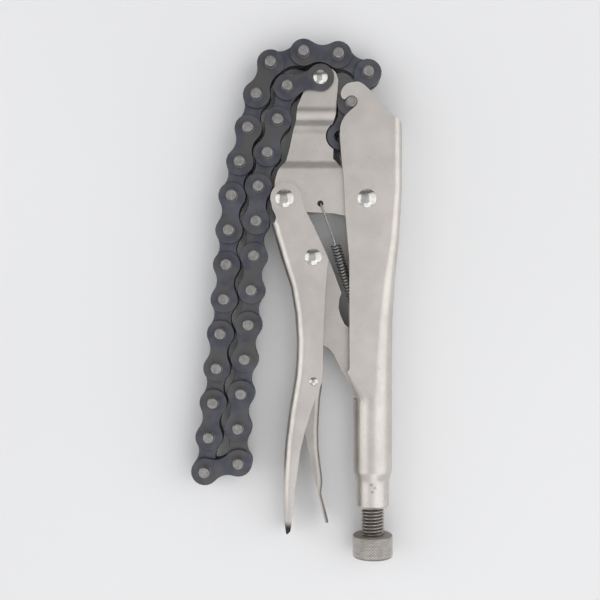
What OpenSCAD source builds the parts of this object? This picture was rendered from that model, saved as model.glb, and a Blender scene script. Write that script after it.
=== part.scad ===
// Locking chain pliers, closed, lying flat with the chain's last pin hooked in the notch.
// Millimetres. X and Y lie in the plane of the pliers, +Y runs towards the hook, +Z is up.
// Sizes are measured from the main rivet, and place() moves the tool onto its footprint's centre.

/* [Chain] */
// Distance from one chain pin to the next
chain_pitch = 15.875; // [15:0.005:17]
// Diameter of a chain pin
pin_d = 5.0; // [4:0.1:5.4]
// Length of a chain pin, which stands out on both sides to hook in the notch
pin_len = 18.6; // [17.5:0.1:18.6]
// Radius of the round end of a link plate
plate_r = 6.3; // [5.5:0.05:6.4]
// Half the width of a link plate at its waist
plate_waist = 3.9; // [3:0.1:4.4]
// Thickness of an outer link's plate
outer_t = 1.9; // [1.5:0.1:2.0]
// Thickness of an inner link's plate
inner_t = 1.8; // [1.4:0.1:2.2]
// Outside width of an inner link
inner_w = 6.8; // [6.4:0.1:6.8]
// Radius of a bush in an inner link
bush_r = 3.6; // [3.2:0.1:4.2]

/* [Handles] */
// Sheet thickness of both handles
sheet_t = 2.4; // [2:0.1:2.4]
// Radius of the screw tube
tube_r = 8.9; // [8.7:0.1:9.2]
// Wall of the screw tube
tube_wall = 2.4; // [2:0.1:2.6]
// Radius of the neck below the tube
neck_r = 7.5; // [7:0.1:8.2]
// Distance between the main rivet and the jaw's rivet
jaw_arm = 37.5; // [37:0.1:38]

/* [Jaw] */
// Sheet thickness of the jaw
jaw_t = 2.2; // [1.6:0.1:2.4]
// Outside width of the jaw where the handles hold it
jaw_w = 11.0; // [10:0.1:11.2]
// Outside width of the jaw's middle step
jaw_mid_w = 8.8; // [7.6:0.1:9.6]
// Outside width of the tongue that carries the chain
tongue_w = 6.6; // [6:0.1:6.7]

/* [Toggle and release lever] */
// Thickness of the toggle link
toggle_t = 7.0; // [5:0.1:7.2]
// Sheet thickness of the release lever
lever_t = 1.5; // [1.2:0.1:1.8]
// Outside width of the release lever
lever_w = 11.0; // [10:0.1:11.2]

/* [Adjusting screw] */
// Radius of the screw over its thread
screw_r = 5.2; // [4.6:0.1:5.2]
// Pitch of the screw's thread
screw_pitch = 1.5; // [1.2:0.1:2]
// Radius of the knob
knob_r = 9.3; // [8.8:0.1:10]
// Length of the knob
knob_len = 11.1; // [9:0.1:13]

/* [Rivets] */
// Head radius of the main rivet
main_head_r = 4.35; // [4:0.05:5]
// Head radius of the jaw's rivet
jaw_head_r = 4.25; // [4:0.05:5]
// Head radius of the toggle's rivet
toggle_head_r = 3.9; // [3.5:0.05:4.5]
// Head radius of the release lever's rivet
lever_head_r = 2.1; // [1.9:0.05:2.6]
// Head radius of the chain's rivet
chain_head_r = 3.4; // [3:0.05:4]
// Height of a domed rivet head
head_h = 1.1; // [0.6:0.05:1.1]
// Shank radius of the main rivet and the jaw's rivet
main_shank_r = 3.0; // [2.6:0.05:3.4]
// Shank radius of the toggle's rivet
toggle_shank_r = 2.8; // [2.4:0.05:3.2]
// Shank radius of the release lever's rivet
lever_shank_r = 1.5; // [1.2:0.05:1.7]
// Shank radius of the chain's rivet
chain_shank_r = 2.4; // [2:0.05:2.6]

/* [Return spring] */
// Wire diameter
wire_d = 0.84; // [0.7:0.02:0.9]
// Radius of the coil's centre line
coil_r = 2.0; // [1.7:0.05:2.1]
// Number of curls
coil_turns = 22; // [16:1:23]
// Radius of the jaw's hole for the spring's hook
spring_hole_r = 1.4; // [1.2:0.05:1.6]
// Radius of the post that holds the spring's other end
post_r = 1.4; // [1.2:0.05:1.6]

/* [Clearances] */
// Between an outer plate and an inner plate, each side
link_gap = 0.1; // [0.05:0.01:0.2]
// Around a chain pin in its bush, radial
pin_gap = 0.1; // [0.05:0.01:0.2]
// Around a rivet in a part that turns on it, radial
rivet_gap = 0.1; // [0.05:0.01:0.2]
// Around a rivet in a part that it is fixed to, radial
press_gap = 0.02; // [0.01:0.005:0.05]
// Around the hooked pin in the notch, radial
notch_gap = 0.25; // [0.15:0.01:0.35]
// Between the chain and the cut-outs of the jaw
chain_clear = 0.35; // [0.2:0.05:0.5]
// Between the handles' side plates and the jaw or the lever inside them, each side
side_gap = 0.3; // [0.2:0.05:0.4]
// Between the spring's straight end and the jaw's face
lead_gap = 0.6; // [0.5:0.05:0.8]
// Around the screw in the neck, radial
screw_gap = 0.15; // [0.05:0.01:0.3]
// Between the toggle's foot and the screw's tip
tip_gap = 0.6; // [0.5:0.05:1]

/* [Hidden] */
link_count = 30;
function two(k) = k < 10 ? str("0", k) : str(k);
link_names = [for (k = [1:link_count]) str("link_", two(k))];

steel = [0.74, 0.72, 0.69];
bright = [0.80, 0.79, 0.77];
blued = [0.20, 0.21, 0.24];
pin_grey = [0.55, 0.54, 0.53];
dark_wire = [0.32, 0.31, 0.31];
warm_grey = [0.60, 0.57, 0.53];
eps = 0.01;
round_fn = 48;

// Pivots, from the main rivet
main_p = [0, 0];
jaw_p = [-jaw_arm, 0];
toggle_p = [-24.5, -26.8];
lever_p = [-24.3, -83.5];
chain_p = [-21.1, 55.8];
hook_p = [-7.1, 44.0];
spring_p = [-21.2, -2.1];
post_p = [-0.5, -58.5];
tube_x = 3.1;
ear_r = 7.0;
spine_x = 16.2;
inside = max(jaw_w, lever_w) / 2 + side_gap;
half_w = inside + sheet_t;

// Chain route: headings of the links in degrees, from the rivet down and from the hook back
run_down = [196, 254, 253, 255, 266, 266, 266, 265, 264, 264, 265];
run_back = [-119, -31, -4, 18, 66, 76, 76, 77, 85, 86, 86, 84, 84, 84, 83, 83];
free_end = 252;
function step(h) = chain_pitch * [cos(h), sin(h)];
function walk(p, hs, n) = n == 0 ? p : walk(p, hs, n - 1) + step(hs[n - 1]);
function back(p, hs, n) = n == 0 ? p : back(p, hs, n - 1) - step(hs[n - 1]);
low_a = walk(chain_p, run_down, 11);
low_b = back(hook_p, run_back, 16);
low_d = low_b - low_a;
low_h = sqrt(max(chain_pitch * chain_pitch - norm(low_d) * norm(low_d) / 4, 0.01));
low_n = [-low_d[1], low_d[0]] / norm(low_d);
low_s = low_n[1] < 0 ? 1 : -1;
low_p = (low_a + low_b) / 2 + low_s * low_h * low_n;
joints = concat([for (n = [0:11]) walk(chain_p, run_down, n)], [low_p],
  [for (n = [16:-1:0]) back(hook_p, run_back, n)], [hook_p + step(free_end)]);

// Footprint, which centres the tool
knob_y = -154.2;
left_x = min([for (p = joints) p[0]]) - plate_r;
top_y = max([for (p = joints) p[1]]) + plate_r;
mid_z = max(knob_r, pin_len / 2, half_w + head_h);
shift = [-(left_x + spine_x) / 2, -(top_y + knob_y - knob_len) / 2, mid_z];
module place() { translate(shift) children(); }

// Both sides of the middle plane, between two heights
module both(z0, z1) {
  for (s = [0, 1])
    mirror([0, 0, s])
      translate([0, 0, z0])
        linear_extrude(z1 - z0)
          children();
}

module through(p, r, h = 30) {
  translate([p[0], p[1], -h / 2])
    cylinder(r = r, h = h, $fn = round_fn);
}

// Domed rivet along Z through parts of half width hw
module rivet(p, shank, head, hw, dome) {
  dome_r = (head * head + dome * dome) / (2 * dome);
  translate([p[0], p[1], 0])
    rotate_extrude($fn = round_fn)
      polygon(concat([[0, -hw - dome]],
        [for (i = [1:5]) let (z = dome * (1 - i / 5))
          [sqrt(dome_r * dome_r - pow(dome_r - dome + z, 2)), -hw - z]],
        [[shank, -hw], [shank, hw]],
        [for (i = [5:-1:1]) let (z = dome * (1 - i / 5))
          [sqrt(dome_r * dome_r - pow(dome_r - dome + z, 2)), hw + z]],
        [[0, hw + dome]]));
}

// Folded channel: stations [x of the spine, y, corner radius, half width], side 1 opens to +X
corner_n = 6;
function arc_q(r, n, a0) = [for (i = [0:n]) r * [cos(a0 + 90 * i / n), sin(a0 + 90 * i / n)]];
function corner(cx, cz, r, a0) = [for (q = arc_q(r, corner_n, a0)) [cx + q[0], cz + q[1]]];
function skin(hw, ro, t, reach) =
  let (ri = max(ro - t, 0.5), hi = hw - t, outer = concat([[reach, hw]],
    corner(ro, hw - ro, ro, 90), corner(ro, -hw + ro, ro, 180), [[reach, -hw]]),
    inner = concat([[reach, -hi]], [for (i = [corner_n:-1:0])
      [t + ri, -hi + ri] + ri * [cos(180 + 90 * i / corner_n), sin(180 + 90 * i / corner_n)]],
    [for (i = [corner_n:-1:0])
      [t + ri, hi - ri] + ri * [cos(90 + 90 * i / corner_n), sin(90 + 90 * i / corner_n)]],
    [[reach, hi]]))
  concat(outer, inner);
// Channel whose side plates curl round to a slit tube: stations [x of the spine, y, corner radius,
// half width, x where the curl starts, curl radius, curl angle]
curl_n = 4;
function round_at(cx, cz, r, a0, a1, n) = [for (i = [0:n]) let (a = a0 + (a1 - a0) * i / n)
  [cx + r * cos(a), cz + r * sin(a)]];
function back_to_front(list) = [for (i = [len(list) - 1:-1:0]) list[i]];
function curled_side(s, d) = let (r = max(s[2] - d, 0.5), c = s[5] - d) concat(
  round_at(s[4], s[3] - s[5], c, 90 + s[6], 90, curl_n),
  round_at(s[0] - s[2], s[3] - s[2], r, 90, 0, corner_n),
  round_at(s[0] - s[2], s[2] - s[3], r, 0, -90, corner_n),
  round_at(s[4], s[5] - s[3], c, -90, -90 - s[6], curl_n));
function curled(s, t) = concat(curled_side(s, 0), back_to_front(curled_side(s, t)));
// Solid through rings of points that each go out along one side of the sheet and back along the other
module loft(rings, flip) {
  n = len(rings[0]);
  m = len(rings);
  pts = [for (r = rings) for (p = r) p];
  walls = [for (i = [0:m - 2]) for (j = [0:n - 1])
    let (a = i * n + j, b = i * n + (j + 1) % n) each [[a, b, b + n], [a, b + n, a + n]]];
  end = (m - 1) * n;
  caps = [for (j = [0:n / 2 - 2]) each [[n - 1 - j, n - 2 - j, j + 1], [n - 1 - j, j + 1, j],
    [end + j, end + j + 1, end + n - 2 - j], [end + j, end + n - 2 - j, end + n - 1 - j]]];
  faces = concat(walls, caps);
  polyhedron(pts, flip ? [for (f = faces) [f[2], f[1], f[0]]] : faces);
}
module channel(stations, side, t, reach) {
  loft([for (s = stations) [for (q = skin(s[3], s[2], t, reach))
    [s[0] + side * q[0], s[1], q[1]]]], side > 0);
}

// Fixed handle: hook and notch at the top, spine on the right, screw tube at the bottom
tube_top = -92.0;
plates_end = -94.5;
tube_side = tube_x + tube_r;
round_r = tube_r - 0.05;
hook_edge = [[-8.95, 46.1], [-9.6, 45.4], [-10.2, 45.0], [-11.1, 45.4], [-11.8, 46.5], [-11.9, 48.0],
  [-11.7, 48.9], [-10.7, 50.7], [-9.1, 52.2], [-6.7, 52.9], [-4.0, 53.1], [-2.9, 52.7], [-1.2, 51.6],
  [1.0, 49.6], [11.0, 38.5], [12.1, 37.6], [13.9, 36.5], [15.2, 35.6], [16.0, 34.3], [16.4, 32.0]];
hook_low = [[-12.36, 29.0], [-12.14, 32.75], [-11.36, 35.2], [-10.25, 37.2], [-9.1, 38.5],
  [-7.4, 40.1], [-6.0, 41.3]];
handle_left = [[-9.5, plates_end], [-9.5, -80.0], [-7.9, -77.5], [-8.05, -27.8], [-9.8, -7.9],
  [-10.6, 9.5], [-11.8, 20.1]];
handle_spine = [[spine_x, 56, 3.6, half_w, -30, 6, 2], [spine_x, 4.6, 3.6, half_w, -30, 6, 2],
  [15.0, -18.5, 4.4, half_w, -30, 6, 2], [13.2, -37, 5.6, half_w, -30, 6, 2],
  [12.2, -55.6, 6.8, half_w, -30, 6, 2], [tube_side, -70, 7.6, half_w, -20, 6, 2],
  [tube_side, -75, 7.8, half_w, -12, 6, 4], [tube_side, -78, 7.9, half_w + 0.05, -8.6, 5.5, 10],
  [tube_side, -81, 8.05, half_w + 0.12, -6.0, 5.5, 22], [tube_side, -85, 8.25, half_w + 0.28, -2.6, 6.5, 38],
  [tube_side, -89, 8.5, half_w + 0.48, 0.8, 7.8, 50], [tube_side, -92.5, 8.75, tube_r - 0.06, 2.9, 8.7, 56],
  [tube_side, plates_end, round_r, tube_r, tube_x, round_r, 56]];
module fixed_handle_2d() {
  difference() {
    polygon(concat([[20, plates_end]], handle_left, hook_low, [hook_p], hook_edge, [[20, 32.0]]));
    translate(hook_p)
      circle(r = pin_d / 2 + notch_gap, $fn = round_fn);
  }
}
module tube() {
  wall_r = tube_r - tube_wall;
  bore_r = screw_r + screw_gap;
  translate([tube_x, 0, 0])
    rotate([90, 0, 0])
      rotate_extrude($fn = round_fn)
        polygon([[wall_r, -tube_top], [tube_r, -tube_top], [tube_r, 125.0], [neck_r, 130.0], [neck_r, 141.0],
          [neck_r - 0.8, 142.0], [bore_r, 142.0], [bore_r, 130.0], [wall_r, 126.0]]);
}
module fixed_handle() {
  color(steel)
    difference() {
      union() {
        intersection() {
          loft([for (s = handle_spine) [for (q = curled(s, sheet_t)) [q[0], s[1], q[1]]]], false);
          translate([0, 0, -20])
            linear_extrude(40)
              fixed_handle_2d();
        }
        tube();
      }
      through(main_p, main_shank_r + press_gap);
    }
}

// Jaw: two cheeks stepped in towards the tongue, joined by a web on the left
jaw_edge = [[-19.2, 61.8], [-16.6, 60.9], [-14.0, 58.3], [-12.9, 55.0], [-13.2, 50.0], [-13.9, 40.9],
  [-14.6, 34.1], [-15.2, 21.3], [-15.3, 18.5], [-14.2, 17.6], [-12.5, 15.5], [-10.6, 13.4], [-2.0, 8.2],
  [4.0, 7.2], [7.2, 4.0], [8.2, 0], [7.2, -4.0], [4.0, -7.2], [0, -8.2], [-5.0, -8.0], [-10.2, -7.7],
  [-15.3, -6.6], [-27.4, -6.1], [-37.5, -5.6], [-41.0, -4.0], [-42.2, 0], [-42.2, 4.6], [-41.9, 8.8],
  [-40.6, 13.0], [-39.3, 14.9], [-37.5, 16.7], [-36.9, 17.7], [-35.8, 21.2], [-34.8, 25.4],
  [-34.0, 29.5], [-33.4, 32.4], [-32.7, 34.7], [-32.3, 37.2], [-31.7, 42.9], [-30.6, 45.3],
  [-29.6, 47.8], [-28.6, 49.8], [-27.6, 53.0], [-27.2, 56.5], [-26.2, 59.4], [-24.0, 61.2],
  [-21.8, 61.9]];
waist_clear = plate_waist + 0.8 + chain_clear;
// Half width outside, against y
jaw_steps = [[70, tongue_w / 2], [41.0, tongue_w / 2], [34.7, tongue_w / 2 - 0.4], [29.6, jaw_mid_w / 2],
  [18.5, jaw_mid_w / 2], [13.4, jaw_w / 2], [-20, jaw_w / 2]];
module jaw_2d() {
  difference() {
    polygon(jaw_edge);
    for (k = [26, 27, 29, 30])
      translate(joints[k])
        circle(r = plate_r + chain_clear, $fn = round_fn);
    translate(joints[link_count - 1])
      rotate(free_end)
        translate([0, -waist_clear])
          square([chain_pitch, 2 * waist_clear]);
  }
}
module jaw_cheek() {
  translate([-60, 0, 0])
    rotate([90, 0, 90])
      linear_extrude(80)
        polygon(concat(jaw_steps, [for (i = [len(jaw_steps) - 1:-1:0]) jaw_steps[i] - [0, jaw_t]]));
}
module jaw() {
  web_h = jaw_mid_w - 2 * jaw_t + 0.6;
  color(steel)
    difference() {
      intersection() {
        translate([0, 0, -10])
          linear_extrude(20)
            jaw_2d();
        union() {
          jaw_cheek();
          mirror([0, 0, 1])
            jaw_cheek();
          translate([0, 0, -web_h / 2])
            linear_extrude(web_h)
              intersection() {
                difference() {
                  polygon(jaw_edge);
                  translate([jaw_t, 0])
                    polygon(jaw_edge);
                }
                translate([-40, 19])
                  square([20, 28]);
              }
        }
      }
      through(main_p, main_shank_r + rivet_gap);
      through(jaw_p, main_shank_r + rivet_gap);
      through(chain_p, chain_shank_r + press_gap);
      through(spring_p, spring_hole_r);
    }
}

// Movable handle: spine on the left, ears round the jaw's rivet
grip_spine = [[-52.0, 12, 4.2, half_w], [-47.5, -4.0, 4.2, half_w], [-43.5, -11.85, 4.2, half_w],
  [-39.3, -26.4, 4.2, half_w], [-34.9, -40.3, 4.2, half_w], [-32.9, -52.3, 4.2, half_w],
  [-32.1, -64.3, 4.2, half_w], [-32.3, -73, 4.2, half_w], [-32.9, -81.0, 4.2, half_w],
  [-35.6, -97.2, 4.2, half_w], [-37.3, -111.1, 4.0, half_w], [-38.0, -122, 3.8, half_w],
  [-38.2, -134.2, 3.4, half_w], [-37.9, -146, 3.0, half_w - 0.6], [-36.9, -154.0, 2.8, half_w - 1.4]];
grip_edge = [[-23.4, -14.4], [-17.6, -27.8], [-18.3, -34.7], [-19.1, -44.9], [-19.9, -64.3],
  [-20.2, -79.0], [-20.6, -84.0], [-24.3, -93.2], [-28.3, -106], [-30.5, -115.7], [-33.0, -134.2],
  [-34.0, -146.0], [-34.9, -151.8], [-36.2, -153.4], [-50, -153.4], [-50, -12.3], [-43.6, -11.9],
  [-41.9, -10.8], [-41.4, -8.9], [-41.8, -7.1], [-43.0, -4.9]];
module grip_2d() {
  ear = [for (a = [200:-7.5:5]) jaw_p + [0.5, 0.2] + ear_r * [cos(a), sin(a)]];
  polygon(concat(grip_edge, ear, [[-28.5, -4.2], [-27.1, -7.1]]));
}
module movable_handle() {
  color(steel)
    difference() {
      intersection() {
        channel(grip_spine, 1, sheet_t, 40);
        translate([0, 0, -20])
          linear_extrude(40)
            grip_2d();
      }
      through(jaw_p, main_shank_r + press_gap);
      through(toggle_p, toggle_shank_r + press_gap);
      through(lever_p, lever_shank_r + press_gap);
    }
}

// Toggle link: head on its rivet, scallop for the spring, foot on the screw's tip
screw_tip = -96.1;
foot_y = screw_tip + tip_gap;
toggle_edge = [[-23.1, -14.4], [-19.0, -23.1], [-15.3, -32.4], [-11.3, -43.0], [-12.2, -45.5],
  [-12.7, -49.8], [-11.75, -53.5], [-9.9, -57.3], [-8.0, -58.8], [-4.6, -63.0], [2.5, -76.0],
  [6.6, -87.0], [6.9, foot_y + 3.0], [6.0, foot_y + 0.7], [4.6, foot_y], [1.6, foot_y],
  [0.0, foot_y + 0.7], [-1.3, foot_y + 3.1], [-3.0, -90.2], [-6.0, -87.4], [-11.6, -78.7], [-15.3, -71.0],
  [-17.6, -68.4], [-20.1, -67.1], [-22.5, -66.0], [-25.5, -58.0], [-28.5, -45.0], [-31.0, -33.0],
  [-31.4, -26.8], [-30.0, -20.5], [-26.5, -15.6]];
module toggle_link() {
  color(steel)
    difference() {
      translate([0, 0, -toggle_t / 2])
        linear_extrude(toggle_t)
          polygon(toggle_edge);
      through(toggle_p, toggle_shank_r + rivet_gap);
    }
}

// Release lever: thin channel, spine towards the fixed handle
lever_half = lever_w / 2;
lever_bend = 2.4;
lever_spine = [for (p = [[-20.9, -70.0], [-20.5, -80.0], [-20.4, -86.0], [-21.3, -92.0], [-21.8, -99.0],
  [-22.1, -106.0], [-22.0, -113.8], [-21.2, -121.0], [-20.4, -127.0], [-20.2, -130.0], [-20.5, -133.0],
  [-20.8, -135.6], [-19.3, -141.3], [-17.4, -148.4], [-17.0, -150.0]]) [p[0], p[1], lever_bend, lever_half]];
tail_x = [-20.8, -17.4] - [lever_t, lever_t];
lever_edge = [[-10, -72.5], [-10, -148.4], [tail_x[1] - 0.1, -148.4], [tail_x[0] - 0.1, -135.6],
  [-22.6, -133.4], [-24.9, -122.6], [-28.5, -106.1], [-29.6, -98.0], [-29.6, -90.0], [-28.8, -82.0],
  [-26.4, -75.0], [-24.0, -72.5]];
module release_lever() {
  color(steel)
    difference() {
      intersection() {
        channel(lever_spine, -1, lever_t, 20);
        translate([0, 0, -20])
          linear_extrude(40)
            polygon(lever_edge);
      }
      through(lever_p, lever_shank_r + rivet_gap);
    }
}

// Adjusting screw along the tube, and the knob pressed on its end
module adjusting_screw() {
  root_r = screw_r - 0.61 * screw_pitch;
  thread_0 = 98.5;
  thread_n = floor((-knob_y + 3 - thread_0) / screw_pitch);
  color(warm_grey)
    translate([tube_x, 0, 0])
      rotate([90, 0, 0])
        rotate_extrude($fn = round_fn)
          polygon(concat([[0, -screw_tip], [root_r - 1.2, -screw_tip], [root_r, -screw_tip + 1.2]],
            [for (i = [0:thread_n - 1]) let (y = thread_0 + i * screw_pitch)
              each [[root_r, y], [screw_r, y + 0.42 * screw_pitch], [screw_r, y + 0.58 * screw_pitch]]],
            [[root_r, thread_0 + thread_n * screw_pitch], [root_r, knob_len - knob_y - 2.5],
              [0, knob_len - knob_y - 2.5]]));
}
module screw_knob() {
  edge = 1.4;
  y0 = -knob_y;
  y1 = knob_len - knob_y;
  bore = screw_r + 0.1;
  color(warm_grey)
    translate([tube_x, 0, 0])
      rotate([90, 0, 0])
        rotate_extrude($fn = round_fn)
          polygon(concat([[bore, y0], [knob_r - edge, y0]],
            [for (i = [1:4]) [knob_r - edge + edge * sin(22.5 * i), y0 + edge * (1 - cos(22.5 * i))]],
            [for (i = [0:4]) [knob_r - edge + edge * cos(22.5 * i), y1 - edge + edge * sin(22.5 * i)]],
            [[0, y1], [0, y1 - 2.4], [bore, y1 - 2.4]]));
}

module rivet_main() { color(bright) rivet(main_p, main_shank_r, main_head_r, half_w, head_h); }
module rivet_jaw() { color(bright) rivet(jaw_p, main_shank_r, jaw_head_r, half_w, head_h); }
module rivet_toggle() { color(bright) rivet(toggle_p, toggle_shank_r, toggle_head_r, half_w, head_h); }
module rivet_lever() { color(bright) rivet(lever_p, lever_shank_r, lever_head_r, half_w, head_h * 0.7); }
module rivet_chain() {
  color(bright)
    rivet(chain_p, chain_shank_r, chain_head_r, outer_out + link_gap, head_h);
}
module spring_post() {
  color(steel)
    translate([post_p[0], post_p[1], -inside])
      cylinder(r = post_r, h = 2 * inside, $fn = round_fn);
}

// Return spring: hook through the jaw's hole, straight lead, coil, and a hook round the post
wire_r = wire_d / 2;
lead_z = jaw_w / 2 + wire_r + lead_gap;
coil_a = [-14.3, -20.8, 2.6];
coil_b = [-4.9, -50.6, 0.6];
coil_ax = (coil_b - coil_a) / norm(coil_b - coil_a);
coil_u = cross(coil_ax, [0, 0, 1]) / norm(cross(coil_ax, [0, 0, 1]));
coil_v = cross(coil_u, coil_ax);
post_turn = post_r + wire_r + 0.15;
function on_coil(i) =
  coil_a + coil_ax * norm(coil_b - coil_a) * i / (8 * coil_turns)
  + coil_r * (cos(45 * i) * coil_v + sin(45 * i) * coil_u);
function lean(a, b, f) = a + (b - a) * f;
hook_top = [spring_p[0] + 0.5, spring_p[1] - 1.0, lead_z];
lead_end = on_coil(0) - coil_ax * 2.6;
function post_at(a) = [post_p[0] + post_turn * cos(a), post_p[1] + post_turn * sin(a), 0];
tail = on_coil(8 * coil_turns) + coil_ax * 1.4;
wire_path = concat(
  [[spring_p[0], spring_p[1], jaw_w / 2 - jaw_t - 0.9], [spring_p[0], spring_p[1], jaw_w / 2 - 0.6],
    [spring_p[0] + 0.15, spring_p[1] - 0.3, lead_z - 0.35], hook_top],
  [for (f = [0.15, 0.5, 0.85]) lean(hook_top, lead_end, f)], [lead_end],
  [for (i = [0:8 * coil_turns]) on_coil(i)],
  [tail, lean(tail, post_at(160), 0.6)],
  [for (a = [175:30:385]) post_at(a)]);
// Least gap between points of the wire that are over one turn apart
wire_gaps = [for (i = [0:len(wire_path) - 1]) for (j = [i + 6:1:len(wire_path) - 1])
  norm(wire_path[i] - wire_path[j]) - wire_d];
echo(spring_gap_mm = min(wire_gaps));
function unit(v) = v / norm(v);
function ring_dir(i) = let (n = len(wire_path), a = wire_path[max(i - 1, 0)],
  b = wire_path[min(i + 1, n - 1)]) unit(b - a);
function carry(n, t) = unit(n - (n * t) * t);
function frames(i, n) = i == len(wire_path) ? []
  : let (m = carry(n, ring_dir(i))) concat([m], frames(i + 1, m));
module return_spring() {
  normals = frames(0, [1, 0.2, 0]);
  sides = 6;
  last = len(wire_path) - 1;
  pts = [for (i = [0:last]) let (t = ring_dir(i), n = normals[i], b = cross(t, n))
    for (k = [0:sides - 1]) wire_path[i] + wire_r * (cos(360 * k / sides) * n + sin(360 * k / sides) * b)];
  walls = [for (i = [0:last - 1]) for (k = [0:sides - 1])
    let (a = i * sides + k, b = i * sides + (k + 1) % sides)
    each [[a, b + sides, b], [a, a + sides, b + sides]]];
  caps = [[for (k = [0:sides - 1]) k], [for (k = [sides - 1:-1:0]) last * sides + k]];
  color(dark_wire)
    polyhedron(pts, concat(walls, caps));
}

// Link plate from the origin along +X, waisted between its two round ends
waist_r = (chain_pitch * chain_pitch / 4 + plate_waist * plate_waist - plate_r * plate_r)
  / (2 * (plate_r - plate_waist));
waist_a = atan2(plate_waist + waist_r, chain_pitch / 2);
end_n = 14;
waist_n = 6;
function end_arc(x, a0, a1) = [for (i = [0:end_n]) let (a = a0 + (a1 - a0) * i / end_n)
  [x + plate_r * cos(a), plate_r * sin(a)]];
function waist_arc(s) = [for (i = [1:waist_n - 1])
  let (w = 90 - waist_a, a = -90 + s * (w - 2 * w * i / waist_n))
  [chain_pitch / 2 + waist_r * cos(a), s * (plate_waist + waist_r) + s * waist_r * sin(a)]];
module plate_2d() {
  polygon(concat(end_arc(chain_pitch, waist_a - 180, 180 - waist_a), waist_arc(1),
    end_arc(0, waist_a, 360 - waist_a), waist_arc(-1)));
}
outer_in = inner_w / 2 + link_gap;
outer_out = outer_in + outer_t;
module chain_pin(x) {
  chamfer = 0.4;
  r = pin_d / 2;
  translate([x, 0, 0])
    rotate_extrude($fn = 32)
      polygon([[0, -pin_len / 2], [r - chamfer, -pin_len / 2], [r, -pin_len / 2 + chamfer],
        [r, pin_len / 2 - chamfer], [r - chamfer, pin_len / 2], [0, pin_len / 2]]);
}
// Outer link: two plates with their pins; the first has a plain hole at the jaw's rivet
module outer_link(first) {
  difference() {
    union() {
      color(blued)
        both(outer_in, outer_out)
          plate_2d();
      color(pin_grey)
        for (x = first ? [chain_pitch] : [0, chain_pitch])
          chain_pin(x);
    }
    if (first)
      through([0, 0], chain_shank_r + pin_gap);
  }
}
// Inner link: two plates and two bushes
module inner_link() {
  color(blued)
    difference() {
      union() {
        both(inner_w / 2 - inner_t, inner_w / 2)
          plate_2d();
        for (x = [0, chain_pitch])
          through([x, 0], bush_r, inner_w - inner_t);
      }
      for (x = [0, chain_pitch])
        through([x, 0], pin_d / 2 + pin_gap);
    }
}
module link(k) {
  a = joints[k - 1];
  b = joints[k];
  translate([a[0], a[1], 0])
    rotate([0, 0, atan2(b[1] - a[1], b[0] - a[0])])
      if (k % 2 == 1)
        outer_link(k == 1);
      else
        inner_link();
}

place() fixed_handle();
place() jaw();
place() movable_handle();
place() toggle_link();
place() release_lever();
place() adjusting_screw();
place() screw_knob();
place() rivet_main();
place() rivet_jaw();
place() rivet_toggle();
place() rivet_lever();
place() rivet_chain();
place() spring_post();
place() return_spring();
for (k = [1:link_count])
  place() link(k);
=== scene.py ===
"""Looks of the locking chain pliers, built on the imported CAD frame. Metres, +Z up, the tool lies flat."""

import math

import bmesh
import bpy
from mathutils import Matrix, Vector


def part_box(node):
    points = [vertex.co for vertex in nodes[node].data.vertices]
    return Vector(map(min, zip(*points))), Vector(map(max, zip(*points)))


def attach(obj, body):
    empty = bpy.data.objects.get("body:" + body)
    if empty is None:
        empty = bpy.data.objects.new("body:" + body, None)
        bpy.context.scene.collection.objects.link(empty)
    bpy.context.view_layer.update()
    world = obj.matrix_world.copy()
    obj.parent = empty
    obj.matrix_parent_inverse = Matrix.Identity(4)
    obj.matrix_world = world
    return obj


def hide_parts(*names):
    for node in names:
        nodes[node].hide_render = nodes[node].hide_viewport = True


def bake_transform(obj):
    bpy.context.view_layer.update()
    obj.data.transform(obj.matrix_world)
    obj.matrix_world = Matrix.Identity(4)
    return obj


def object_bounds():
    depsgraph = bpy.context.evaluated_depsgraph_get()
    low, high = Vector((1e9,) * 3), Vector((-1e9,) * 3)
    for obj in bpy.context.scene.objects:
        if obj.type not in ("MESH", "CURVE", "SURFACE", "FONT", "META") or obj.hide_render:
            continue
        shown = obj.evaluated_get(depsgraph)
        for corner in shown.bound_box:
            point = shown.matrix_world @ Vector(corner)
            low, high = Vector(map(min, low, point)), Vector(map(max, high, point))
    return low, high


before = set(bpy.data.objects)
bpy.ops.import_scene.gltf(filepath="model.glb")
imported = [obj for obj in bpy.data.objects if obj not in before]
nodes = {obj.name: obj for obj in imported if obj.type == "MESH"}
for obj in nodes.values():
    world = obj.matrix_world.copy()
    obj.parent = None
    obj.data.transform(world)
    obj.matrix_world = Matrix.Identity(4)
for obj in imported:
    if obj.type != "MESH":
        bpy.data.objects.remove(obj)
cad_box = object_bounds()
scene = bpy.context.scene
scene.view_settings.view_transform = "Standard"

MM = 0.001

# The CAD source measures its places from the centre of the main rivet
RIVET_LOW, RIVET_HIGH = (Vector(p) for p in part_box("rivet_main"))
SHIFT = (RIVET_LOW + RIVET_HIGH) / 2


def at(x, y, z=0.0):
    """A place given in millimetres from the main rivet, in the shared frame."""
    return Vector((x, y, z)) * MM + SHIFT


def unit(value):
    """The value held between 0 and 1."""
    return min(1.0, max(0.0, value))


def show(name, data):
    """A new object in the scene."""
    obj = bpy.data.objects.new(name, data)
    scene.collection.objects.link(obj)
    return obj


# Camera: straight above, up is +Y; the width is what it sees at the height of the rivets' centres
CAMERA_HEIGHT = 0.480
CAMERA_NEAR = 0.01
SENSOR = 36.0
FRAME_WIDTH = 0.2777
PHOTO_CENTRE = at(-30.5, -46.3)


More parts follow.
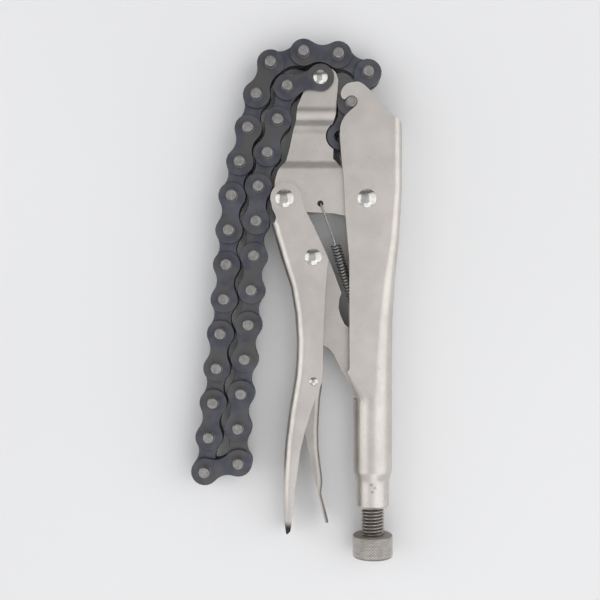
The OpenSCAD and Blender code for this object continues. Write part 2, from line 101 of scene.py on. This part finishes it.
def add_camera():
    data = bpy.data.cameras.new("camera")
    data.sensor_width = SENSOR
    data.lens = SENSOR * CAMERA_HEIGHT / FRAME_WIDTH
    data.clip_start = CAMERA_NEAR
    camera = show("camera", data)
    camera.location = PHOTO_CENTRE + Vector((0, 0, CAMERA_HEIGHT))
    scene.camera = camera


add_camera()


class Shader:
    """A Principled material with short helpers for its nodes."""

    def __init__(self, name, metallic=1.0, roughness=0.4):
        self.material = bpy.data.materials.new(name)
        self.material.use_nodes = True
        self.tree = self.material.node_tree
        self.bsdf = self.tree.nodes["Principled BSDF"]
        self.bsdf.inputs["Metallic"].default_value = metallic
        self.bsdf.inputs["Roughness"].default_value = roughness
        self.place = self.add("ShaderNodeTexCoord").outputs["Object"]

    def add(self, kind, **values):
        node = self.tree.nodes.new(kind)
        for key, value in values.items():
            setattr(node, key, value)
        return node

    def link(self, a, b):
        self.tree.links.new(a, b)

    def stretch(self, scale):
        """The object's coordinates, scaled apart on each axis."""
        mapping = self.add("ShaderNodeMapping")
        mapping.inputs["Scale"].default_value = scale
        self.link(self.place, mapping.inputs["Vector"])
        return mapping.outputs["Vector"]

    def noise(self, size, detail=3.0, vector=None):
        """Noise with features of the given size in metres, from 0 to 1."""
        node = self.add("ShaderNodeTexNoise")
        node.inputs["Scale"].default_value = 1.0 / size
        node.inputs["Detail"].default_value = detail
        self.link(vector or self.place, node.inputs["Vector"])
        return node.outputs["Fac"]

    def math(self, operation, a, b=None):
        node = self.add("ShaderNodeMath", operation=operation)
        for socket, value in zip(node.inputs, (a, b)):
            if value is None:
                continue
            if isinstance(value, (int, float)):
                socket.default_value = value
            else:
                self.link(value, socket)
        return node.outputs[0]

    def span(self, value, low, high, out_low=0.0, out_high=1.0):
        """The value mapped smoothly from one range to another, and held at the ends."""
        node = self.add("ShaderNodeMapRange", interpolation_type="SMOOTHSTEP")
        ends = {"From Min": low, "From Max": high, "To Min": out_low, "To Max": out_high}
        for key, number in ends.items():
            node.inputs[key].default_value = number
        self.link(value, node.inputs["Value"])
        return node.outputs["Result"]

    def uneven(self, noise, out_low=0.0, out_high=1.0):
        """Noise drawn out over the range where most of it lies."""
        return self.span(noise, 0.3, 0.7, out_low, out_high)

    def axis(self, name):
        split = self.add("ShaderNodeSeparateXYZ")
        self.link(self.place, split.inputs[0])
        return split.outputs[name]

    def distance(self, vector, point):
        node = self.add("ShaderNodeVectorMath", operation="DISTANCE")
        node.inputs[1].default_value = point
        self.link(vector, node.inputs[0])
        return node.outputs["Value"]

    def near(self, point, inner, outer):
        """1 within inner of the point, 0 beyond outer."""
        return self.span(self.distance(self.place, point), inner, outer, 1.0, 0.0)

    def off_axis(self, x, z):
        """Distance from a line along Y."""
        flat = self.add("ShaderNodeVectorMath", operation="MULTIPLY")
        flat.inputs[1].default_value = (1, 0, 1)
        self.link(self.place, flat.inputs[0])
        return self.distance(flat.outputs["Vector"], (x, 0, z))

    def mix(self, factor, a, b):
        """Colour a where the factor is 0, colour b where it is 1."""
        node = self.add("ShaderNodeMix", data_type="RGBA")
        self.link(factor, node.inputs["Factor"])
        for socket, value in ((node.inputs[6], a), (node.inputs[7], b)):
            if isinstance(value, tuple):
                socket.default_value = (*value, 1.0)
            else:
                self.link(value, socket)
        return node.outputs[2]

    def colour(self, socket):
        self.link(socket, self.bsdf.inputs["Base Color"])

    def roughness(self, socket):
        self.link(socket, self.bsdf.inputs["Roughness"])

    def bump(self, height, depth, strength):
        """Relief from a height of 0 to 1 that is depth metres high."""
        node = self.add("ShaderNodeBump")
        node.inputs["Distance"].default_value = depth
        node.inputs["Strength"].default_value = strength
        self.link(height, node.inputs["Height"])
        self.link(node.outputs["Normal"], self.bsdf.inputs["Normal"])


# Colours; a pair is the darkest and the lightest of an uneven surface
STEEL = ((0.600, 0.562, 0.525), (0.672, 0.632, 0.592))
# The toggle: a darker copy of the plated steel, painted shade, as it lies lower inside the fixed handle's
# channel
SHADED_TOGGLE_STEEL = ((0.500, 0.470, 0.440), (0.565, 0.532, 0.500))
# The lever: a darker copy of the plated steel, painted shade, as it lies lower under the movable handle's
# edge
SHADED_LEVER_STEEL = ((0.400, 0.375, 0.350), (0.460, 0.432, 0.405))
# Painted shade for the stake dents
STAKE_DENT_SHADE = (0.36, 0.34, 0.32)
# Painted shade for the movable handle's tip, which bends down away from the light
TIP_SHADE = (0.045, 0.048, 0.056)
RIVET_STEEL = (0.64, 0.62, 0.59)
BLUED = ((0.080, 0.083, 0.100), (0.124, 0.127, 0.150))
BROWNED = (0.116, 0.111, 0.104)
BLUED_GRAIN = (0.175, 0.176, 0.190)
PIN_STEEL = ((0.26, 0.25, 0.24), (0.36, 0.35, 0.335))
SCREW_STEEL = ((0.36, 0.33, 0.295), (0.46, 0.43, 0.39))
KNOB_STEEL = ((0.50, 0.47, 0.435), (0.64, 0.605, 0.565))
WIRE_STEEL = ((0.30, 0.29, 0.28), (0.44, 0.43, 0.42))
FLOOR_WHITE = ((0.90, 0.90, 0.90), (0.93, 0.93, 0.93))

# Places of the stake dents, and where the painted shade on the movable handle's tip ends, above its lowest
# point
STAKE_MARKS = [at(1.9, -130.6, 7.5), at(3.6, -132.0, 7.5), at(2.5, -133.8, 7.5)]
STAKE_INNER, STAKE_OUTER = 0.2 * MM, 1.1 * MM
GRIP_TIP_Y = at(0, -152.4).y
TIP_DARK, TIP_CLEAR = 1.8 * MM, 5.6 * MM
OUTER_PLATE_TOP = 5.45 * MM


def darker(colour, share):
    return tuple(share * c for c in colour)


def plated_steel(name, dark, light, marks=(), tip_y=None):
    """Satin nickel plating over blasted sheet: fine grain, faint clouds, small specks, stake dents with
    painted shade, and painted shade on the tip.
    """
    s = Shader(name)
    height = s.noise(0.28 * MM, 2.0)
    colour = s.mix(s.uneven(s.noise(12 * MM, 4.0)), dark, light)
    specks = s.span(s.noise(1.1 * MM), 0.62, 0.74, 0.0, 0.35)
    colour = s.mix(specks, colour, darker(dark, 0.62))
    if tip_y is not None:
        # Painted shade on the tip, darkest at its end
        tip = s.span(s.axis("Y"), tip_y + TIP_DARK, tip_y + TIP_CLEAR, 1.0, 0.0)
        colour = s.mix(tip, colour, TIP_SHADE)
    for place in marks:
        ragged = s.span(s.noise(0.9 * MM, 2.0), 0.38, 0.52)
        mark = s.math("MULTIPLY", s.near(place, STAKE_INNER, STAKE_OUTER), ragged)
        # The dents are sunk by the bump and darkened with painted shade
        colour = s.mix(mark, colour, STAKE_DENT_SHADE)
        height = s.math("SUBTRACT", height, s.math("MULTIPLY", mark, 0.6))
    s.colour(colour)
    s.roughness(s.uneven(s.noise(1.6 * MM), 0.34, 0.44))
    s.bump(height, 0.018 * MM, 0.7)
    return s.material


def polished_steel(name, tone):
    """Rivet heads, tumbled bright, with faint handling scratches."""
    s = Shader(name)
    scratches = s.noise(0.5 * MM, 2.0, s.stretch((1.0, 0.12, 1.0)))
    s.colour(s.mix(s.span(s.noise(2 * MM), 0.35, 0.65), darker(tone, 0.86), tone))
    s.roughness(s.uneven(scratches, 0.11, 0.18))
    s.bump(scratches, 0.006 * MM, 0.5)
    return s.material


def blued_steel(name, pin_height):
    """Chain link: blued plates, browned in places, and bare grey pin ends above pin_height."""
    s = Shader(name, metallic=0.75)
    plate = s.mix(s.uneven(s.noise(6 * MM, 4.0)), *BLUED)
    plate = s.mix(s.span(s.noise(12 * MM), 0.46, 0.62, 0.0, 0.75), plate, BROWNED)
    grain = s.noise(0.4 * MM, 2.0)
    plate = s.mix(s.span(grain, 0.55, 0.8, 0.0, 0.5), plate, BLUED_GRAIN)
    pin = s.mix(s.span(s.noise(1.2 * MM), 0.35, 0.65), *PIN_STEEL)
    rise = s.math("ABSOLUTE", s.math("SUBTRACT", s.axis("Z"), SHIFT.z))
    is_pin = s.math("GREATER_THAN", rise, pin_height)
    s.colour(s.mix(is_pin, plate, pin))
    s.roughness(s.uneven(s.noise(2 * MM), 0.36, 0.48))
    s.bump(grain, 0.01 * MM, 0.6)
    return s.material


def turned_steel(name, dark, light, groove):
    """Screw and knob: dull plating, with painted shade down in the groove, which is (x, z, root, crest)."""
    s = Shader(name)
    x, z, root, crest = groove
    colour = s.mix(s.uneven(s.noise(3 * MM, 4.0)), dark, light)
    # Painted shade, deepest at the groove's root and gone at its crest
    depth = s.span(s.off_axis(x, z), root, crest, 0.75, 0.0)
    s.colour(s.mix(depth, colour, darker(dark, 0.35)))
    s.roughness(s.uneven(s.noise(1.2 * MM), 0.30, 0.44))
    s.bump(s.noise(0.3 * MM, 2.0), 0.01 * MM, 0.6)
    return s.material


def spring_steel(name):
    """Drawn spring wire, dull and a little uneven."""
    s = Shader(name)
    s.colour(s.mix(s.uneven(s.noise(1.5 * MM)), *WIRE_STEEL))
    s.roughness(s.uneven(s.noise(0.7 * MM, 2.0), 0.28, 0.4))
    return s.material


def floor_white(name):
    """White floor that keeps the object's soft shadow."""
    s = Shader(name, metallic=0.0, roughness=0.9)
    s.colour(s.mix(s.uneven(s.noise(0.4, 2.0)), *FLOOR_WHITE))
    return s.material


handle_look = plated_steel("plated_handle", *STEEL, marks=STAKE_MARKS)
grip_look = plated_steel("plated_grip", *STEEL, tip_y=GRIP_TIP_Y)
sheet_look = plated_steel("plated_sheet", *STEEL)
shaded_toggle_look = plated_steel("plated_toggle", *SHADED_TOGGLE_STEEL)
shaded_lever_look = plated_steel("plated_lever", *SHADED_LEVER_STEEL)
rivet_look = polished_steel("rivet_head", RIVET_STEEL)
link_look = blued_steel("blued_link", OUTER_PLATE_TOP)
wire_look = spring_steel("spring_wire")

# Edges of the CAD nodes; the fixed handle's loft has edges too short for a bevel
SHARP_ANGLE = math.radians(32)
FLAT_ANGLE = math.radians(0.2)
WELD_GAP = 0.002 * MM
BEVEL_STEPS = 2
HANDLE_EDGE = 0.35 * MM
SHEET_EDGE = 0.3 * MM
POST_EDGE = 0.2 * MM
RIVET_EDGE = 0.1 * MM
LINK_EDGE = 0.4 * MM
RIVETS = ("rivet_main", "rivet_jaw", "rivet_toggle", "rivet_lever", "rivet_chain")
LINK_COUNT = 30


def shading_group(name, nodes_between):
    """Node group for a modifier that passes a mesh through the nodes that the function adds."""
    group = bpy.data.node_groups.new(name, "GeometryNodeTree")
    for in_out in ("INPUT", "OUTPUT"):
        group.interface.new_socket("Geometry", in_out=in_out, socket_type="NodeSocketGeometry")
    first = group.nodes.new("NodeGroupInput")
    last = group.nodes.new("NodeGroupOutput")
    chain = [first, *nodes_between(group), last]
    for before, after in zip(chain, chain[1:]):
        group.links.new(before.outputs[0], after.inputs[0])
    return group


def smooth_faces(group):
    """Drops a mesh's stored normals and shades its faces smooth."""
    drop = group.nodes.new("GeometryNodeRemoveAttribute")
    drop.inputs["Name"].default_value = "custom_normal"
    return [drop, group.nodes.new("GeometryNodeSetShadeSmooth")]


def sharp_edges(group):
    """Marks the edges at which the faces meet at more than the sharp angle."""
    angle = group.nodes.new("GeometryNodeInputMeshEdgeAngle")
    over = group.nodes.new("FunctionNodeCompare")
    over.operation = "GREATER_THAN"
    over.inputs["B"].default_value = SHARP_ANGLE
    group.links.new(angle.outputs["Unsigned Angle"], over.inputs["A"])
    mark = group.nodes.new("GeometryNodeSetShadeSmooth")
    mark.domain = "EDGE"
    mark.inputs["Shade Smooth"].default_value = False
    group.links.new(over.outputs["Result"], mark.inputs["Selection"])
    return [mark]


SMOOTH_FACES = shading_group("smooth_faces", smooth_faces)
SHARP_EDGES = shading_group("sharp_edges", sharp_edges)


def finish_node(name, look, edge=None):
    """Gives a CAD node its finish, and rounds its sharp edges by a modifier, or leaves them as they are."""
    obj = nodes[name]
    obj.data.materials.clear()
    obj.data.materials.append(look)
    obj.modifiers.new("smooth", "NODES").node_group = SMOOTH_FACES
    obj.modifiers.new("weld", "WELD").merge_threshold = WELD_GAP
    flat = obj.modifiers.new("flat", "DECIMATE")
    flat.decimate_type = "DISSOLVE"
    flat.angle_limit = FLAT_ANGLE
    if edge:
        bevel = obj.modifiers.new("edges", "BEVEL")
        bevel.width = edge
        bevel.segments = BEVEL_STEPS
        bevel.limit_method = "ANGLE"
        bevel.angle_limit = SHARP_ANGLE
        bevel.use_clamp_overlap = True
        bevel.loop_slide = False
    else:
        obj.modifiers.new("sharp", "NODES").node_group = SHARP_EDGES
    obj.modifiers.new("shading", "WEIGHTED_NORMAL").keep_sharp = not edge


finish_node("fixed_handle", handle_look)
finish_node("movable_handle", grip_look, HANDLE_EDGE)
finish_node("jaw", sheet_look, SHEET_EDGE)
finish_node("toggle_link", shaded_toggle_look, SHEET_EDGE)
finish_node("release_lever", shaded_lever_look, SHEET_EDGE)
finish_node("spring_post", sheet_look, POST_EDGE)
for rivet in RIVETS:
    finish_node(rivet, rivet_look, RIVET_EDGE)
for number in range(1, LINK_COUNT + 1):
    finish_node(f"link_{number:02d}", link_look, LINK_EDGE)

CREASE_ANGLE = math.radians(40)


def new_mesh(name, points, faces, look, node):
    """A smooth mesh piece that stands for a CAD node."""
    mesh = bpy.data.meshes.new(name)
    mesh.from_pydata([tuple(p) for p in points], [], faces)
    mesh.materials.append(look)
    for polygon in mesh.polygons:
        polygon.use_smooth = True
    mesh.set_sharp_from_angle(angle=CREASE_ANGLE)
    obj = show(name, mesh)
    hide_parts(node)
    return obj


def tube_faces(rows, sides):
    """Quads between rings of points, and a cap on the first and the last ring."""
    faces = []
    for row in range(0, (rows - 1) * sides, sides):
        for c in range(sides):
            after = (c + 1) % sides
            faces.append((row + c, row + after, row + sides + after, row + sides + c))
    end = (rows - 1) * sides
    faces.append(tuple(range(sides - 1, -1, -1)))
    faces.append(tuple(range(end, end + sides)))
    return faces


# Jaw, in millimetres: the CAD node's sheet, cut into strips across Y and set to rounded bends.
# Each step is a place along Y and the half width over the sheet there.
JAW_SHEET = 2.2
CAD_STEPS = [(70, 3.3), (41.0, 3.3), (34.7, 2.9), (29.6, 4.4), (18.5, 4.4), (13.4, 5.5), (-20, 5.5)]
BENT_STEPS = [
    (70, 3.3), (42.4, 3.3), (40.2, 3.8), (39.2, 3.8), (37.0, 3.35), (36.2, 3.35), (33.9, 4.2), (31.6, 4.25),
    (30.2, 4.4), (17.0, 4.4), (14.2, 5.5), (-20, 5.5),
]
BEND_ROUND = 0.8
ROUND_STEPS = 6
STRIP = 0.3
STRIP_ENDS = (11.6, 44.2)
CUT_GAP = 0.01


def along_steps(steps, y):
    """Half width of the jaw at y; the steps go down in y."""
    for (y_high, half_high), (y_low, half_low) in zip(steps, steps[1:]):
        if y >= y_low:
            return half_low + (half_high - half_low) * (y - y_low) / (y_high - y_low)
    return steps[-1][1]


def rounded_bends(y):
    """Half width of the bent jaw at y: the mean over a short stretch, which rounds its corners."""
    steps = range(-ROUND_STEPS, ROUND_STEPS + 1)
    return sum(along_steps(BENT_STEPS, y + BEND_ROUND * k / ROUND_STEPS) for k in steps) / len(steps)


def bend_sheet(work):
    """Cuts the jaw's mesh into strips and moves its cheeks from the CAD bends to the rounded ones."""
    low, high = STRIP_ENDS
    for i in range(int((high - low) / STRIP) + 1):
        everything = work.verts[:] + work.edges[:] + work.faces[:]
        cut = at(0, low + STRIP * i)
        bmesh.ops.bisect_plane(work, geom=everything, plane_co=cut, plane_no=(0, 1, 0), dist=CUT_GAP * MM)
    for vert in work.verts:
        y, z = (vert.co.y - SHIFT.y) / MM, (vert.co.z - SHIFT.z) / MM
        half = along_steps(CAD_STEPS, y)
        share = unit(abs(z) / (half - JAW_SHEET))
        vert.co.z += math.copysign(1.0, z) * (rounded_bends(y) - half) * share * MM


def build_jaw():
    seen = nodes["jaw"].evaluated_get(bpy.context.evaluated_depsgraph_get())
    mesh = bpy.data.meshes.new_from_object(seen)
    mesh.name = "formed_jaw"
    work = bmesh.new()
    work.from_mesh(mesh)
    bend_sheet(work)
    work.to_mesh(mesh)
    work.free()
    obj = show("formed_jaw", mesh)
    obj.modifiers.new("shading", "WEIGHTED_NORMAL").keep_sharp = False
    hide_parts("jaw")
    return obj


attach(build_jaw(), "jaw_body")


def wave(x):
    """A triangle wave from 0 to 1 with a period of 1, highest at whole numbers."""
    return abs(2.0 * (x % 1.0) - 1.0)


def axis_of(node):
    """Centre line of a turned node along Y: x, z, and its ends."""
    low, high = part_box(node)
    return (low.x + high.x) / 2, (low.z + high.z) / 2, low.y, high.y


def on_axis(x, z, y, radius, turn):
    """A point at this radius and share of a full turn round a line along Y."""
    angle = 2 * math.pi * turn
    return Vector((x + radius * math.cos(angle), y, z + radius * math.sin(angle)))


# Adjusting screw: a rod with one continuous helical thread, plain at its tip
THREAD_PITCH = 1.5 * MM
THREAD_CREST = 5.2 * MM
THREAD_ROOT = 4.3 * MM
CREST_FLAT = 1.35
PLAIN_TIP = 2.4 * MM
TIP_CHAMFER = 1.0 * MM
SCREW_SIDES = 48
ROWS_A_PITCH = 8


def build_screw():
    x, z, low, high = axis_of("adjusting_screw")
    rows = int((high - low) / THREAD_PITCH * ROWS_A_PITCH)
    points = []
    for r in range(rows + 1):
        y = high - (high - low) * r / rows
        from_tip = high - y
        fade = unit((from_tip - PLAIN_TIP) / THREAD_PITCH)
        chamfer = max(0.0, TIP_CHAMFER - from_tip)
        for c in range(SCREW_SIDES):
            turn = c / SCREW_SIDES
            crest = unit(CREST_FLAT * wave((y - low) / THREAD_PITCH + turn))
            radius = THREAD_ROOT + (THREAD_CREST - THREAD_ROOT) * crest * fade - chamfer
            points.append(on_axis(x, z, y, radius, turn))
    faces = tube_faces(rows + 1, SCREW_SIDES)
    screw_look = turned_steel("turned_screw", *SCREW_STEEL, (x, z, THREAD_ROOT, THREAD_CREST))
    return new_mesh("screw_thread", points, faces, screw_look, "adjusting_screw")


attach(build_screw(), "screw_body")

# Knob: a bore for the screw, rounded edges, a shallow recess in its end and a diamond knurl round its side
KNURL_COUNT = 44
KNURL_PITCH = 1.35 * MM
KNURL_DEPTH = 0.38 * MM
KNURL_FLAT = 1.5
KNURL_UNSHADED = 0.3
KNOB_SIDES = KNURL_COUNT * 6
KNOB_ROWS = 40
KNOB_EDGE = 1.5 * MM
KNURL_START, KNURL_FADE = 0.75 * KNOB_EDGE, 0.5 * KNOB_EDGE
EDGE_STEPS = 10
BORE_GAP = 0.1 * MM
BORE_CHAMFER = 0.3 * MM
BORE_FLOOR = 2.4 * MM
RECESS_DEPTH = 0.25 * MM
RECESS_RIM, RECESS_FLOOR = 0.62, 0.6
CENTRE = 0.05 * MM


def knob_profile(low, high, top):
    """Radius and y along the knob's section, from the floor of the bore over the side to the recess."""
    bore = THREAD_CREST + BORE_GAP
    floor_y, recess_y = low + BORE_FLOOR, low + RECESS_DEPTH
    inner, side_high, side_low = top - KNOB_EDGE, high - KNOB_EDGE, low + KNOB_EDGE
    arc = [math.pi / 2 * i / EDGE_STEPS for i in range(EDGE_STEPS + 1)]
    profile = [(CENTRE, floor_y), (bore, floor_y), (bore, high - BORE_CHAMFER), (bore + BORE_CHAMFER, high)]
    profile += [(inner + KNOB_EDGE * math.sin(a), side_high + KNOB_EDGE * math.cos(a)) for a in arc]
    profile += [(top, side_high + (side_low - side_high) * i / KNOB_ROWS) for i in range(1, KNOB_ROWS)]
    profile += [(inner + KNOB_EDGE * math.cos(a), side_low - KNOB_EDGE * math.sin(a)) for a in arc]
    profile += [(top * RECESS_RIM, low), (top * RECESS_FLOOR, recess_y), (CENTRE, recess_y)]
    return profile


def build_knob():
    x, z, low, high = axis_of("screw_knob")
    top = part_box("screw_knob")[1].x - x
    profile = knob_profile(low, high, top)
    points = []
    for radius, y in profile:
        depth = KNURL_DEPTH * unit((radius - (top - KNURL_START)) / KNURL_FADE)
        rise = (y - low) / KNURL_PITCH
        for c in range(KNOB_SIDES):
            turn = c / KNOB_SIDES
            ridge = min(wave(KNURL_COUNT * turn + rise), wave(KNURL_COUNT * turn - rise))
            cut = depth * (1.0 - unit(KNURL_FLAT * ridge))
            points.append(on_axis(x, z, y, radius - cut, turn))
    faces = tube_faces(len(profile), KNOB_SIDES)
    # The painted shade in the knurl's grooves fades out near the crest
    groove = (x, z, top - KNURL_DEPTH, top - KNURL_UNSHADED * KNURL_DEPTH)
    knob_look = turned_steel("turned_knob", *KNOB_STEEL, groove)
    return new_mesh("knurled_knob", points, faces, knob_look, "screw_knob")


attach(build_knob(), "knob_body")

# Return spring, in millimetres from the main rivet: the same wire as in the CAD source, rounder
WIRE_RADIUS = 0.42
WIRE_SIDES = 12
COIL_RADIUS = 2.0
COIL_TURNS = 22
STEPS_A_CURL = 20
COIL_TOP = Vector((-14.3, -20.8, 2.6))
COIL_LOW = Vector((-4.9, -50.6, 0.6))
JAW_HALF = 5.5
LEAD_GAP = 0.6
LEAD_Z = JAW_HALF + WIRE_RADIUS + LEAD_GAP
LEAD_STOP = 2.6
LEAD_SHARES = (0.15, 0.5, 0.85, 1.0)
SPRING_HOLE = Vector((-21.2, -2.1, 0))
HOOK = [(0, 0, JAW_HALF - 3.1), (0, 0, JAW_HALF - 0.6), (0.15, -0.3, LEAD_Z - 0.35), (0.5, -1.0, LEAD_Z)]
POST = Vector((-0.5, -58.5, 0))
POST_RADIUS = 1.4
POST_GAP = 0.15
POST_TURN = POST_RADIUS + WIRE_RADIUS + POST_GAP
TAIL = 1.4
TAIL_SHARE = 0.6
TAIL_ANGLE = 160
POST_ANGLES = range(175, 386, 15)
FIRST_NORMAL = Vector((1, 0.2, 0))


def spring_path():
    """Centre line of the wire, from the hook in the jaw's hole over the coil to the turn round the post."""
    along = (COIL_LOW - COIL_TOP).normalized()
    u = along.cross(Vector((0, 0, 1))).normalized()
    v = u.cross(along)

    def on_coil(t):
        angle = 2 * math.pi * t * COIL_TURNS
        round_it = COIL_RADIUS * (math.cos(angle) * v + math.sin(angle) * u)
        return COIL_TOP + (COIL_LOW - COIL_TOP) * t + round_it

    def round_post(degrees):
        a = math.radians(degrees)
        return POST + POST_TURN * Vector((math.cos(a), math.sin(a), 0))

    path = [SPRING_HOLE + Vector(p) for p in HOOK]
    hook_end = path[-1]
    lead_end = on_coil(0) - along * LEAD_STOP
    path += [hook_end.lerp(lead_end, share) for share in LEAD_SHARES]
    steps = COIL_TURNS * STEPS_A_CURL
    path += [on_coil(i / steps) for i in range(steps + 1)]
    tail = on_coil(1) + along * TAIL
    path += [tail, tail.lerp(round_post(TAIL_ANGLE), TAIL_SHARE)]
    path += [round_post(degrees) for degrees in POST_ANGLES]
    return path


def build_spring():
    path = [p * MM + SHIFT for p in spring_path()]
    radius = WIRE_RADIUS * MM
    normal = FIRST_NORMAL
    points = []
    for i, p in enumerate(path):
        tangent = (path[min(i + 1, len(path) - 1)] - path[max(i - 1, 0)]).normalized()
        normal = (normal - normal.dot(tangent) * tangent).normalized()
        side = tangent.cross(normal)
        for k in range(WIRE_SIDES):
            a = 2 * math.pi * k / WIRE_SIDES
            points.append(p + radius * (math.cos(a) * normal + math.sin(a) * side))
    faces = tube_faces(len(path), WIRE_SIDES)
    return new_mesh("wound_spring", points, faces, wire_look, "return_spring")


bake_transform(build_spring())

# Floor
FLOOR_HALF = 3.0
FLOOR_GAP = 0.2 * MM
FLOOR_CORNERS = [(-1, -1), (1, -1), (1, 1), (-1, 1)]

floor_mesh = bpy.data.meshes.new("floor")
floor_mesh.from_pydata([(FLOOR_HALF * x, FLOOR_HALF * y, 0) for x, y in FLOOR_CORNERS], [], [(0, 1, 2, 3)])
floor_mesh.materials.append(floor_white("floor"))
floor = show("floor", floor_mesh)
floor.location.z = cad_box[0][2] - FLOOR_GAP


def softbox(name, place, size, power):
    """A square area light that faces the tool."""
    data = bpy.data.lights.new(name, "AREA")
    data.size = size
    data.energy = power
    light = show(name, data)
    light.location = place
    light.rotation_euler = (-Vector(place)).to_track_quat("-Z", "Y").to_euler()


softbox("softbox_right", (0.80, 0.10, 0.75), size=1.4, power=4.4)
softbox("softbox_left", (-0.90, 0.10, 0.60), size=1.0, power=2.6)
softbox("softbox_back", (0.0, 1.3, 0.45), size=1.0, power=0.9)
softbox("softbox_front", (0.15, -0.75, 0.95), size=0.8, power=1.6)

# Light from all round; it weakens towards +Y
WORLD_COLOUR = (0.975, 0.98, 1.0, 1.0)
WORLD_STRENGTH = {"From Min": 0.1, "From Max": 0.6, "To Min": 0.70, "To Max": 0.22}


def studio_world():
    """Even light from all round, weaker from the side of the hook, which sets off the jaw's bends."""
    world = bpy.data.worlds.new("studio")
    world.use_nodes = True
    tree = world.node_tree
    background = tree.nodes["Background"]
    background.inputs["Color"].default_value = WORLD_COLOUR
    place = tree.nodes.new("ShaderNodeTexCoord")
    split = tree.nodes.new("ShaderNodeSeparateXYZ")
    strength = tree.nodes.new("ShaderNodeMapRange")
    strength.interpolation_type = "SMOOTHSTEP"
    for key, value in WORLD_STRENGTH.items():
        strength.inputs[key].default_value = value
    tree.links.new(place.outputs["Generated"], split.inputs[0])
    tree.links.new(split.outputs["Y"], strength.inputs["Value"])
    tree.links.new(strength.outputs["Result"], background.inputs["Strength"])
    return world


scene.world = studio_world()
